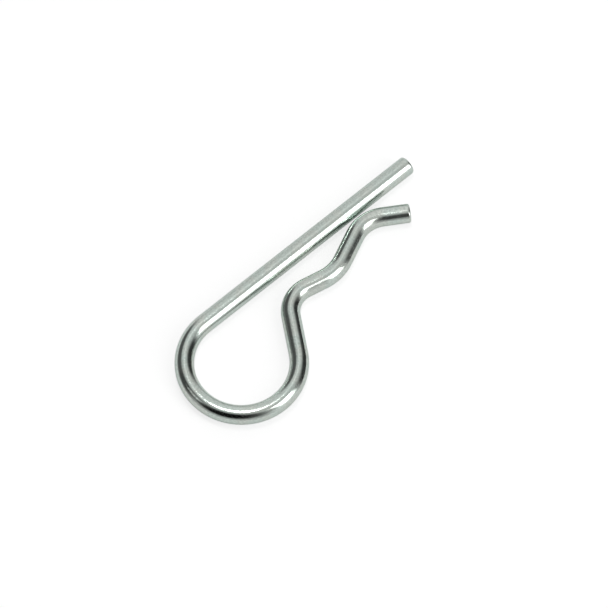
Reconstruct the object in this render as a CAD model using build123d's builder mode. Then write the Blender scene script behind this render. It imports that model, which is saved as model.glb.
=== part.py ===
"""Hitch pin (hairpin cotter): one length of round spring wire, bent flat.

The straight leg goes through the cross hole of a shaft. The wire turns back round an eye, and the
wavy leg grips the shaft from outside: a first hump, a belly that follows the shaft, a second hump
that all but touches the straight leg, and a flared end that guides the shaft in.

Frame: origin at the centre of the eye on the plane the wire lies on, +X along the straight leg
towards its end, +Y from the eye's centre towards the straight leg, +Z up. Millimetres, degrees.
"""

import os
from math import atan2, degrees, radians, sqrt

from build123d import *

# ---- driving dimensions -------------------------------------------------------------------------
wire_diameter = 4.0
end_rounding = 0.45  # edge of both sheared ends

eye_inner_radius = 9.7
leg_length = 55.7  # straight leg, from the eye to its end

# straight runs of the wavy leg
neck_length = 8.6  # eye to first hump
entry_length = 4.1  # first hump to belly
exit_length = 6.1  # belly to second hump
flare_length = 5.7  # second hump to the end
flare_angle = 32.3  # lean of the flared end away from the straight leg

# inside radii of the wavy leg's bends
first_hump_radius = 4.1
belly_radius = 7.5
second_hump_radius = 5.6

# clear gap between the straight leg and the wavy leg at each bend
first_hump_gap = 3.4
belly_gap = 4.6
second_hump_gap = 0.5

# ---- the bends, worked out from those sizes -----------------------------------------------------
LEFT, RIGHT = 1, -1  # the way a bend turns, seen from above, going from the eye to the flare
HALF_TURN, FULL_TURN = 180, 360

wire_radius = wire_diameter / 2
eye_radius = eye_inner_radius + wire_radius  # the radius of any bend is its centreline's
leg_y = eye_radius


def next_centre(previous, radius_sum, run, y):
    """Centre at height y of the bend that follows the one at previous.

    The two bends turn opposite ways and the straight run between them is tangent to both, so the
    distance between their centres follows from the run and the sum of their radii.
    """
    distance = sqrt(run**2 + radius_sum**2)
    return previous[0] + sqrt(distance**2 - (y - previous[1]) ** 2), y


def run_heading(start, end, radius_sum, run, turn):
    """Heading of the straight run from the bend centred on start, which turns by turn, to end."""
    line_of_centres = atan2(end[1] - start[1], end[0] - start[0])
    return degrees(line_of_centres + turn * atan2(radius_sum, run))


def bend_angle(turn, heading_in, heading_out):
    """Signed angle of a bend that changes heading_in to heading_out, turning one way only."""
    return turn * ((turn * (heading_out - heading_in)) % FULL_TURN)


# inside radius, gap to the straight leg, straight run before it, the way it turns
wavy_bends = [
    (first_hump_radius, first_hump_gap, neck_length, RIGHT),
    (belly_radius, belly_gap, entry_length, LEFT),
    (second_hump_radius, second_hump_gap, exit_length, RIGHT),
]

centres, radii, turns = [(0.0, 0.0)], [eye_radius], [LEFT]
headings = [HALF_TURN]  # along the straight leg to the eye, then out of each bend in order
for inside_radius, gap, run, turn in wavy_bends:
    radius = inside_radius + wire_radius
    centre_y = leg_y - wire_diameter - gap + turn * radius
    centre = next_centre(centres[-1], radii[-1] + radius, run, centre_y)
    headings.append(run_heading(centres[-1], centre, radii[-1] + radius, run, turns[-1]))
    centres.append(centre)
    radii.append(radius)
    turns.append(turn)
headings.append(-flare_angle)
runs_out = [neck_length, entry_length, exit_length, flare_length]

# ---- hitch pin ----------------------------------------------------------------------------------
with BuildPart() as hitch_pin:
    with BuildLine(Plane.XY.offset(wire_radius)) as centreline:
        Line((leg_length, leg_y), (0, leg_y))
        for i, (centre, radius, turn, run) in enumerate(zip(centres, radii, turns, runs_out)):
            angle_in = headings[i] - turn * HALF_TURN / 2
            bend = CenterArc(centre, radius, angle_in, bend_angle(turn, headings[i], headings[i + 1]))
            PolarLine(bend @ 1, run, headings[i + 1])
    with BuildSketch(Plane(origin=centreline.line @ 0, z_dir=centreline.line % 0)):
        Circle(wire_radius)
    sweep()
    end_faces = hitch_pin.faces().filter_by(GeomType.PLANE)
    fillet(end_faces.edges(), end_rounding)

hitch_pin.part.label = "hitch_pin"

os.makedirs("parts", exist_ok=True)
export_step(hitch_pin.part, "parts/hitch_pin.step")

if __name__ == "__main__":
    size = hitch_pin.part.bounding_box().size
    wire_length = sum(edge.length for edge in centreline.edges())
    print(f"overall {size.X:.2f} x {size.Y:.2f} x {size.Z:.2f} mm, wire {wire_length:.2f} mm")
    for centre, radius, heading in zip(centres, radii, headings[1:]):
        print(f"bend at {centre[0]:.2f}, {centre[1]:.2f} radius {radius:.2f}, out at {heading:.1f}")
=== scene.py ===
from math import atan2, cos, degrees, hypot, pi, radians, sin, sqrt, tan

import bpy
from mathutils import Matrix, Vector, noise as perlin


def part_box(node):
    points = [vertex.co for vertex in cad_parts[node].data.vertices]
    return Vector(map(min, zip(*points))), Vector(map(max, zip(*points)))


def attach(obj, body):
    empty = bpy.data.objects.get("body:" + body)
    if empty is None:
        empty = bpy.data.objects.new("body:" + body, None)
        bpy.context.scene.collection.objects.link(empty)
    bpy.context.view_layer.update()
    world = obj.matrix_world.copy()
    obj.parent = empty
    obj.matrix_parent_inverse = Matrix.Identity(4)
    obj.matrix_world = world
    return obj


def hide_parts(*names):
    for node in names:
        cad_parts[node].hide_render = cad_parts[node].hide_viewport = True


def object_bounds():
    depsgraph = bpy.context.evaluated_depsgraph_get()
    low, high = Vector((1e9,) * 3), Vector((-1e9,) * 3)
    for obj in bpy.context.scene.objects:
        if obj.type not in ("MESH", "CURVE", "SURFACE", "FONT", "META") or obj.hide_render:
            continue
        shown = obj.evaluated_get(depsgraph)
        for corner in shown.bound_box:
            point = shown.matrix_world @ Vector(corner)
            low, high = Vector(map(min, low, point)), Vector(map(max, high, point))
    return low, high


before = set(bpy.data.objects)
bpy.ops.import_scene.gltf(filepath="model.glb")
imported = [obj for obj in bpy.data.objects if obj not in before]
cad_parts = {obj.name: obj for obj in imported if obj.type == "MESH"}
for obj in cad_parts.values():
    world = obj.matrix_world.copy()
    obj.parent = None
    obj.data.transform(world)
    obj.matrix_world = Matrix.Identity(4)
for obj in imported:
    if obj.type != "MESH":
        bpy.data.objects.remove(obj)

cad_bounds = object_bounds()

MM = 0.001

# ---- the wire's sizes, in metres ----------------------------------------------------------------
pin_low, pin_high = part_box("hitch_pin")
wire_radius = (pin_high[2] - pin_low[2]) / 2
leg_end_x = pin_high[0]
leg_y = pin_high[1] - wire_radius  # the eye is centred on the origin, so this is its radius too

neck_length = 8.6 * MM
entry_length = 4.1 * MM
exit_length = 6.1 * MM
flare_length = 5.7 * MM
flare_angle = 32.3

first_hump_radius = 4.1 * MM + wire_radius
belly_radius = 7.5 * MM + wire_radius
second_hump_radius = 5.6 * MM + wire_radius

first_hump_gap = 3.4 * MM
belly_gap = 4.6 * MM
second_hump_gap = 0.5 * MM

LEFT, RIGHT = 1, -1  # the way a bend turns, going from the eye to the flare
FULL_TURN = 360


# ---- the wire's route ---------------------------------------------------------------------------
def route_pieces():
    """The wire as straight runs and bends: (length, turn, radius), from the straight leg's end."""
    bends = [
        (first_hump_radius, first_hump_gap, neck_length, RIGHT),
        (belly_radius, belly_gap, entry_length, LEFT),
        (second_hump_radius, second_hump_gap, exit_length, RIGHT),
    ]
    centre, radius, turn, heading = (0.0, 0.0), leg_y, LEFT, 180.0
    pieces = [(leg_end_x, 0, 0.0)]
    for next_radius, gap, run, next_turn in bends:
        y = leg_y - 2 * wire_radius - gap + next_turn * next_radius
        reach = sqrt(run**2 + (radius + next_radius) ** 2)
        x = centre[0] + sqrt(reach**2 - (y - centre[1]) ** 2)
        line_of_centres = atan2(y - centre[1], x - centre[0])
        next_heading = degrees(line_of_centres + turn * atan2(radius + next_radius, run))
        angle = (turn * (next_heading - heading)) % FULL_TURN
        pieces.append((radians(angle) * radius, turn, radius))
        pieces.append((run, 0, 0.0))
        centre, radius, turn, heading = (x, y), next_radius, next_turn, next_heading
    angle = (turn * (-flare_angle - heading)) % FULL_TURN
    pieces.append((radians(angle) * radius, turn, radius))
    pieces.append((flare_length, 0, 0.0))
    return pieces


def route_points(step):
    """Points along the route, about step apart: (position, heading, signed curvature, distance)."""
    x, y, heading, distance = leg_end_x, leg_y, pi, 0.0
    points = [(Vector((x, y, wire_radius)), heading, 0.0, distance)]
    for length, turn, radius in route_pieces():
        count = max(1, round(length / step))
        bend = turn / radius if turn else 0.0
        for i in range(1, count + 1):
            along = length * i / count
            if turn:
                end = heading + bend * along
                px = x + (sin(end) - sin(heading)) / bend
                py = y - (cos(end) - cos(heading)) / bend
            else:
                end = heading
                px = x + along * cos(heading)
                py = y + along * sin(heading)
            points.append((Vector((px, py, wire_radius)), end, bend, distance + along))
        x, y, heading, distance = px, py, end, distance + length
    return points


# ---- node helpers -------------------------------------------------------------------------------
def new_material(name):
    material = bpy.data.materials.new(name)
    material.use_nodes = True
    material.node_tree.nodes.clear()
    return material, material.node_tree


def math_node(tree, operation, a, b=None, c=None, clamp=False):
    node = tree.nodes.new("ShaderNodeMath")
    node.operation = operation
    node.use_clamp = clamp
    for socket, value in zip(node.inputs, (a, b, c)):
        if value is None:
            continue
        if isinstance(value, (int, float)):
            socket.default_value = value
        else:
            tree.links.new(value, socket)
    return node.outputs[0]


def map_range(tree, value, from_min, from_max, to_min=0.0, to_max=1.0):
    """A smooth step from to_min to to_max."""
    node = tree.nodes.new("ShaderNodeMapRange")
    node.interpolation_type = "SMOOTHSTEP"
    tree.links.new(value, node.inputs["Value"])
    node.inputs["From Min"].default_value = from_min
    node.inputs["From Max"].default_value = from_max
    node.inputs["To Min"].default_value = to_min
    node.inputs["To Max"].default_value = to_max
    return node.outputs["Result"]


def mix_colour(tree, factor, a, b):
    node = tree.nodes.new("ShaderNodeMix")
    node.data_type = "RGBA"
    factor_in, a_in, b_in = (node.inputs[i] for i in (0, 6, 7))  # the colour mix's own sockets
    for socket, value in ((factor_in, factor), (a_in, a), (b_in, b)):
        if isinstance(value, tuple):
            socket.default_value = value
        else:
            tree.links.new(value, socket)
    return node.outputs[2]  # its colour output


def noise(tree, vector, scale, detail, roughness):
    node = tree.nodes.new("ShaderNodeTexNoise")
    tree.links.new(vector, node.inputs["Vector"])
    node.inputs["Scale"].default_value = scale
    node.inputs["Detail"].default_value = detail
    node.inputs["Roughness"].default_value = roughness
    return node.outputs["Fac"]


# ---- bright zinc on drawn wire ------------------------------------------------------------------
def add_bump(tree, height, depth, normal=None):
    bump = tree.nodes.new("ShaderNodeBump")
    bump.inputs["Strength"].default_value = 1.0
    bump.inputs["Distance"].default_value = depth
    tree.links.new(height, bump.inputs["Height"])
    if normal is not None:
        tree.links.new(normal, bump.inputs["Normal"])
    return bump.outputs["Normal"]


EDGE_TINT = (0.80, 0.84, 0.82, 1)  # of what the metal reflects near its outline
CLOUD = (300.0, 2.0, 0.5)  # noises: scale per metre, detail, roughness
GRAIN = (2700.0, 2.0, 0.6)
DIE_LINES = (4200.0, 3.0, 0.6)
DIE_LINE_STRETCH = (1.0, 1.0, 0.012)  # the lines run along the wire
SPECK_STRENGTH = 0.42


def zinc_material(name, tints, roughness_range, grain_depth, line_depth):
    """Zinc with a fine grain, faint die lines along the wire and a slow change of tint.

    tints are a light, a dull and a speck colour, and roughness_range goes from the grain's low
    parts to its high parts. The depths of the grain and the lines are in metres.
    """
    material, tree = new_material(name)
    output = tree.nodes.new("ShaderNodeOutputMaterial")
    shader = tree.nodes.new("ShaderNodeBsdfPrincipled")
    tree.links.new(shader.outputs[0], output.inputs["Surface"])
    shader.inputs["Metallic"].default_value = 1.0
    shader.inputs["Specular Tint"].default_value = EDGE_TINT

    place = tree.nodes.new("ShaderNodeAttribute")
    place.attribute_name = "wire_place"
    place = place.outputs["Vector"]
    along = tree.nodes.new("ShaderNodeVectorMath")
    along.operation = "MULTIPLY"
    tree.links.new(place, along.inputs[0])
    along.inputs[1].default_value = DIE_LINE_STRETCH

    cloud = noise(tree, place, *CLOUD)
    grain = noise(tree, place, *GRAIN)
    lines = noise(tree, along.outputs[0], *DIE_LINES)

    light, dull, speck = tints
    blend = map_range(tree, cloud, 0.40, 0.62)
    colour = mix_colour(tree, blend, light, dull)
    specks = map_range(tree, grain, 0.36, 0.62, SPECK_STRENGTH, 0.0)
    tree.links.new(mix_colour(tree, specks, colour, speck), shader.inputs["Base Color"])
    roughness = map_range(tree, grain, 0.36, 0.66, *roughness_range)
    tree.links.new(roughness, shader.inputs["Roughness"])

    normal = add_bump(tree, lines, line_depth)
    normal = add_bump(tree, grain, grain_depth, normal)
    tree.links.new(normal, shader.inputs["Normal"])
    return material


zinc_tints = ((0.66, 0.74, 0.69, 1), (0.685, 0.73, 0.675, 1), (0.42, 0.47, 0.44, 1))
end_tints = ((0.56, 0.62, 0.58, 1), (0.60, 0.63, 0.58, 1), (0.42, 0.46, 0.43, 1))
zinc = zinc_material("zinc_plate", zinc_tints, (0.22, 0.06), 0.004 * MM, 0.0012 * MM)
zinc_end = zinc_material("zinc_on_sheared_end", end_tints, (0.24, 0.42), 0.03 * MM, 0.001 * MM)


# ---- the wire -----------------------------------------------------------------------------------
AROUND = 96  # points round each ring
STEP = 0.22 * MM  # between rings
END_ROUNDING = 0.45 * MM
END_RINGS = 8
FACE_RINGS = 14
SHEAR_DEPTH = 0.09 * MM  # how far the torn part of a sheared end lies below the cut part
SHEAR_GRAIN = 0.05 * MM
CUT_DEPTH = 0.004 * MM
LEG_SEED, FLARE_SEED = 3.7, 9.2  # so that the two ends are sheared differently
BODY_SLOT, END_SLOT = 0, 1  # material slots of the mesh


def smoothstep(low, high, value):
    t = min(1.0, max(0.0, (value - low) / (high - low)))
    return t * t * (3 - 2 * t)


def shear_inset(u, v, seed):
    """How deep a point of a sheared end lies: u and v run from -1 to 1 across the face."""
    waver = 0.18 * perlin.noise(Vector((u * 2.2, seed, 0.0)))
    torn = smoothstep(-0.06, 0.12, -v - 0.05 + waver)
    rough = perlin.fractal(Vector((u * 5.5, v * 5.5, seed)), 0.9, 2.0, 3)
    rim = smoothstep(1.0, 0.86, hypot(u, v))
    return rim * (CUT_DEPTH + torn * (SHEAR_DEPTH + SHEAR_GRAIN * rough))


def build_wire():
    """The wire's mesh: rings along the route, closed by two sheared ends."""
    points = route_points(STEP)
    length = points[-1][3]
    flat_radius = wire_radius - END_ROUNDING
    vertices, places, faces, face_slots = [], [], [], []

    def add_ring(centre, heading, distance, radius, inset_of=None):
        """A ring round the wire, and each point's place on the wire as if it were straight."""
        side = Vector((-sin(heading), cos(heading), 0.0))
        along = Vector((cos(heading), sin(heading), 0.0))
        for k in range(AROUND):
            a = 2 * pi * k / AROUND
            u, v = cos(a) * radius, sin(a) * radius
            inset = inset_of(u / flat_radius, v / flat_radius) if inset_of else 0.0
            vertices.append(centre + side * u + Vector((0.0, 0.0, v)) + along * inset)
            places.append((u, v, distance + inset))

    def end_rings(point, inward, seed):
        """Rings from the middle of a sheared end out over its rounded edge."""
        centre, heading, _, distance = point
        along = Vector((cos(heading), sin(heading), 0.0))

        def inset_of(u, v):
            return inward * shear_inset(u, v, seed)

        rings = []
        for i in range(1, FACE_RINGS):
            rings.append((centre, heading, distance, flat_radius * i / FACE_RINGS, inset_of))
        for i in range(END_RINGS + 1):
            a = (pi / 2) * i / END_RINGS
            radius = wire_radius - END_ROUNDING * (1 - sin(a))
            inset = inward * END_ROUNDING * (1 - cos(a))
            rings.append((centre + along * inset, heading, distance + inset, radius, None))
        return rings

    start = end_rings(points[0], 1, LEG_SEED)
    finish = end_rings(points[-1], -1, FLARE_SEED)[::-1]
    body = []
    for centre, heading, _, distance in points:
        if END_ROUNDING < distance < length - END_ROUNDING:
            body.append((centre, heading, distance, wire_radius, None))
    rings = start + body + finish
    for ring in rings:
        add_ring(*ring)

    face_rings = FACE_RINGS - 1
    for i in range(len(rings) - 1):
        on_face = i < face_rings or i >= len(rings) - 1 - face_rings
        for k in range(AROUND):
            a, b = i * AROUND + k, i * AROUND + (k + 1) % AROUND
            faces.append((a, a + AROUND, b + AROUND, b))
            face_slots.append(END_SLOT if on_face else BODY_SLOT)

    middles = ((0, points[0], 1, LEG_SEED), (len(rings) - 1, points[-1], -1, FLARE_SEED))
    for ring, point, inward, seed in middles:
        middle = len(vertices)
        centre, heading, _, distance = point
        inset = inward * shear_inset(0.0, 0.0, seed)
        vertices.append(centre + Vector((cos(heading), sin(heading), 0.0)) * inset)
        places.append((0.0, 0.0, distance + inset))
        for k in range(AROUND):
            a, b = ring * AROUND + k, ring * AROUND + (k + 1) % AROUND
            faces.append((middle, a, b) if ring == 0 else (middle, b, a))
            face_slots.append(END_SLOT)

    mesh = bpy.data.meshes.new("hitch_pin_wire")
    mesh.from_pydata([tuple(v) for v in vertices], [], faces)
    mesh.materials.append(zinc)
    mesh.materials.append(zinc_end)
    mesh.polygons.foreach_set("material_index", face_slots)
    mesh.polygons.foreach_set("use_smooth", [True] * len(faces))
    place = mesh.attributes.new("wire_place", "FLOAT_VECTOR", "POINT")
    place.data.foreach_set("vector", [number for triple in places for number in triple])
    mesh.update()
    wire = bpy.data.objects.new("hitch_pin_wire", mesh)
    bpy.context.scene.collection.objects.link(wire)
    return wire


wire = build_wire()
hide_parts("hitch_pin")
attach(wire, "root")


# ---- the view -----------------------------------------------------------------------------------
# The camera looks along view_heading (degrees from +X) and down by view_elevation.
view_heading = 48.8
view_elevation = 64.0
view_distance = 1.0
view_target = Vector((18.9 * MM, 2.4 * MM, 0.0))
lens_over_sensor = 8.02
SENSOR = 36.0


def direction(azimuth, elevation):
    """Unit vector: azimuth in degrees to the right of the way the camera looks, elevation up."""
    heading = radians(view_heading - azimuth)
    flat = cos(radians(elevation))
    return Vector((flat * cos(heading), flat * sin(heading), sin(radians(elevation))))


def aim(thing, target):
    thing.rotation_euler = (target - thing.location).to_track_quat("-Z", "Y").to_euler()


camera_data = bpy.data.cameras.new("camera")
camera_data.sensor_width = SENSOR
camera_data.lens = SENSOR * lens_over_sensor
camera_data.clip_start = 10 * MM
camera = bpy.data.objects.new("camera", camera_data)
camera.location = view_target + direction(180, view_elevation) * view_distance
aim(camera, view_target)
bpy.context.scene.collection.objects.link(camera)
bpy.context.scene.camera = camera


# ---- lights -------------------------------------------------------------------------------------
light_target = Vector([(low + high) / 2 for low, high in zip(*cad_bounds)])
light_target.z = 0.0

soft_boxes = [  # name, azimuth, elevation, distance, half angles across and up, brightness, shape
    ("top_box", -18, 80.5, 0.5, 5.0, 8.0, 11.0, "ELLIPSE"),
    ("right_box", 114, 41, 0.8, 11.5, 20, 2.4, "RECTANGLE"),
    ("left_box", -102, 46, 0.8, 8, 9, 0.45, "RECTANGLE"),
]


def across(distance, half_angle):
    return 2 * distance * tan(radians(half_angle))


def soft_box(name, azimuth, elevation, distance, half_across, half_up, brightness, shape):
    """An area light whose face shows in the metal at this brightness."""
    width, height = across(distance, half_across), across(distance, half_up)
    data = bpy.data.lights.new(name, "AREA")
    data.shape = shape
    data.size = width
    data.size_y = height
    area = width * height * (pi / 4 if shape == "ELLIPSE" else 1)
    data.energy = brightness * area * pi
    box = bpy.data.objects.new(name, data)
    box.location = light_target + direction(azimuth, elevation) * distance
    aim(box, light_target)
    box.visible_camera = False
    bpy.context.scene.collection.objects.link(box)


for row in soft_boxes:
    soft_box(*row)


# ---- world: a grey room with pale and dark areas, white where the camera sees it ----------------
ROOM_BRIGHTNESS = 0.8
ROOM_LOW, ROOM_HIGH = (-5, 0.56), (70, 0.72)  # elevation and level
HALO_AZIMUTH, HALO_ELEVATION = -20, 81
HALO_INNER, HALO_OUTER = 2, 11.5  # degrees off its centre
HALO_LEVEL = 0.9
CORNER_POWER = 3.0  # 2 makes an area an ellipse, and more squares its corners

room_areas = [  # azimuth, elevation, half width, half height, level, softness
    (1, 30, 37, 44, 0.88, 0.5),
    (0, 52, 9, 24, 1.05, 0.5),
    (-84, 37, 26, 30, 0.07, 0.5),
    (-52, 27, 23, 20, 0.12, 0.3),
    (67, 13, 27, 38, 0.045, 0.4),
    (120, 8, 20, 22, 1.05, 0.6),
    (197, 44, 54, 27, 0.075, 0.35),
    (204, 42, 34, 22, 0.002, 0.4),
]


def build_world():
    world = bpy.data.worlds.new("studio")
    bpy.context.scene.world = world
    world.use_nodes = True
    tree = world.node_tree
    tree.nodes.clear()
    way = tree.nodes.new("ShaderNodeTexCoord").outputs["Generated"]
    parts = tree.nodes.new("ShaderNodeSeparateXYZ")
    tree.links.new(way, parts.inputs[0])
    x, y, z = parts.outputs
    heading = math_node(tree, "ARCTAN2", y, x)
    azimuth = math_node(tree, "SUBTRACT", radians(view_heading), heading)
    elevation = math_node(tree, "ARCSINE", z)

    (low, low_level), (high, high_level) = ROOM_LOW, ROOM_HIGH
    level = map_range(tree, elevation, radians(low), radians(high), low_level, high_level)
    for az, el, half_width, half_height, area_level, softness in room_areas:
        off = math_node(tree, "SUBTRACT", azimuth, radians(az))
        off = math_node(tree, "WRAP", off, pi, -pi)
        rise = math_node(tree, "SUBTRACT", elevation, radians(el))
        sides = []
        for part, half in ((off, half_width), (rise, half_height)):
            part = math_node(tree, "ABSOLUTE", math_node(tree, "DIVIDE", part, radians(half)))
            sides.append(math_node(tree, "POWER", part, CORNER_POWER))
        reach = math_node(tree, "POWER", math_node(tree, "ADD", *sides), 1 / CORNER_POWER)
        mask = map_range(tree, reach, 1 - softness, 1 + softness, 1.0, 0.0)
        change = math_node(tree, "SUBTRACT", area_level, level)
        level = math_node(tree, "MULTIPLY_ADD", change, mask, level)

    # a soft glow round the top box
    toward = tree.nodes.new("ShaderNodeVectorMath")
    toward.operation = "DOT_PRODUCT"
    tree.links.new(way, toward.inputs[0])
    toward.inputs[1].default_value = direction(HALO_AZIMUTH, HALO_ELEVATION)
    off_centre = math_node(tree, "ARCCOSINE", toward.outputs["Value"])
    halo = map_range(tree, off_centre, radians(HALO_INNER), radians(HALO_OUTER), HALO_LEVEL, 0.0)
    level = math_node(tree, "ADD", level, halo)
    level = math_node(tree, "MULTIPLY", level, ROOM_BRIGHTNESS)

    seen = tree.nodes.new("ShaderNodeLightPath").outputs["Is Camera Ray"]
    to_white = math_node(tree, "SUBTRACT", 1.0, level)
    mixed = math_node(tree, "MULTIPLY_ADD", to_white, seen, level)
    background = tree.nodes.new("ShaderNodeBackground")
    background.inputs["Color"].default_value = (1, 1, 1, 1)
    tree.links.new(mixed, background.inputs["Strength"])
    output = tree.nodes.new("ShaderNodeOutputWorld")
    tree.links.new(background.outputs[0], output.inputs["Surface"])


build_world()


# ---- floor --------------------------------------------------------------------------------------
FLOOR_HALF = 4.0
FLOOR_COLOUR = 0.95
# The camera sees a whiter floor, made of less light on it and more glow, and the metal a little glow.
CAMERA_COLOUR_CHANGE = -0.52
CAMERA_GLOW = 0.74
REFLECTED_GLOW = 0.14


def build_floor():
    half = FLOOR_HALF
    mesh = bpy.data.meshes.new("floor")
    corners = [(-half, -half, 0.0), (half, -half, 0.0), (half, half, 0.0), (-half, half, 0.0)]
    mesh.from_pydata(corners, [], [(0, 1, 2, 3)])
    floor = bpy.data.objects.new("floor", mesh)
    bpy.context.scene.collection.objects.link(floor)

    material, tree = new_material("white_table")
    diffuse = tree.nodes.new("ShaderNodeBsdfDiffuse")
    path = tree.nodes.new("ShaderNodeLightPath").outputs
    reflected = math_node(tree, "ADD", path["Is Glossy Ray"], path["Is Transmission Ray"], clamp=True)
    reflected = math_node(tree, "MULTIPLY", reflected, REFLECTED_GLOW)
    glow = tree.nodes.new("ShaderNodeEmission")
    level = math_node(tree, "MULTIPLY_ADD", path["Is Camera Ray"], CAMERA_GLOW, reflected)
    tree.links.new(level, glow.inputs["Strength"])
    seen = path["Is Camera Ray"]
    shade = math_node(tree, "MULTIPLY_ADD", seen, CAMERA_COLOUR_CHANGE, FLOOR_COLOUR)
    tree.links.new(shade, diffuse.inputs["Color"])
    both = tree.nodes.new("ShaderNodeAddShader")
    tree.links.new(diffuse.outputs[0], both.inputs[0])
    tree.links.new(glow.outputs[0], both.inputs[1])
    output = tree.nodes.new("ShaderNodeOutputMaterial")
    tree.links.new(both.outputs[0], output.inputs["Surface"])
    mesh.materials.append(material)


build_floor()

bpy.context.scene.view_settings.view_transform = "Standard"
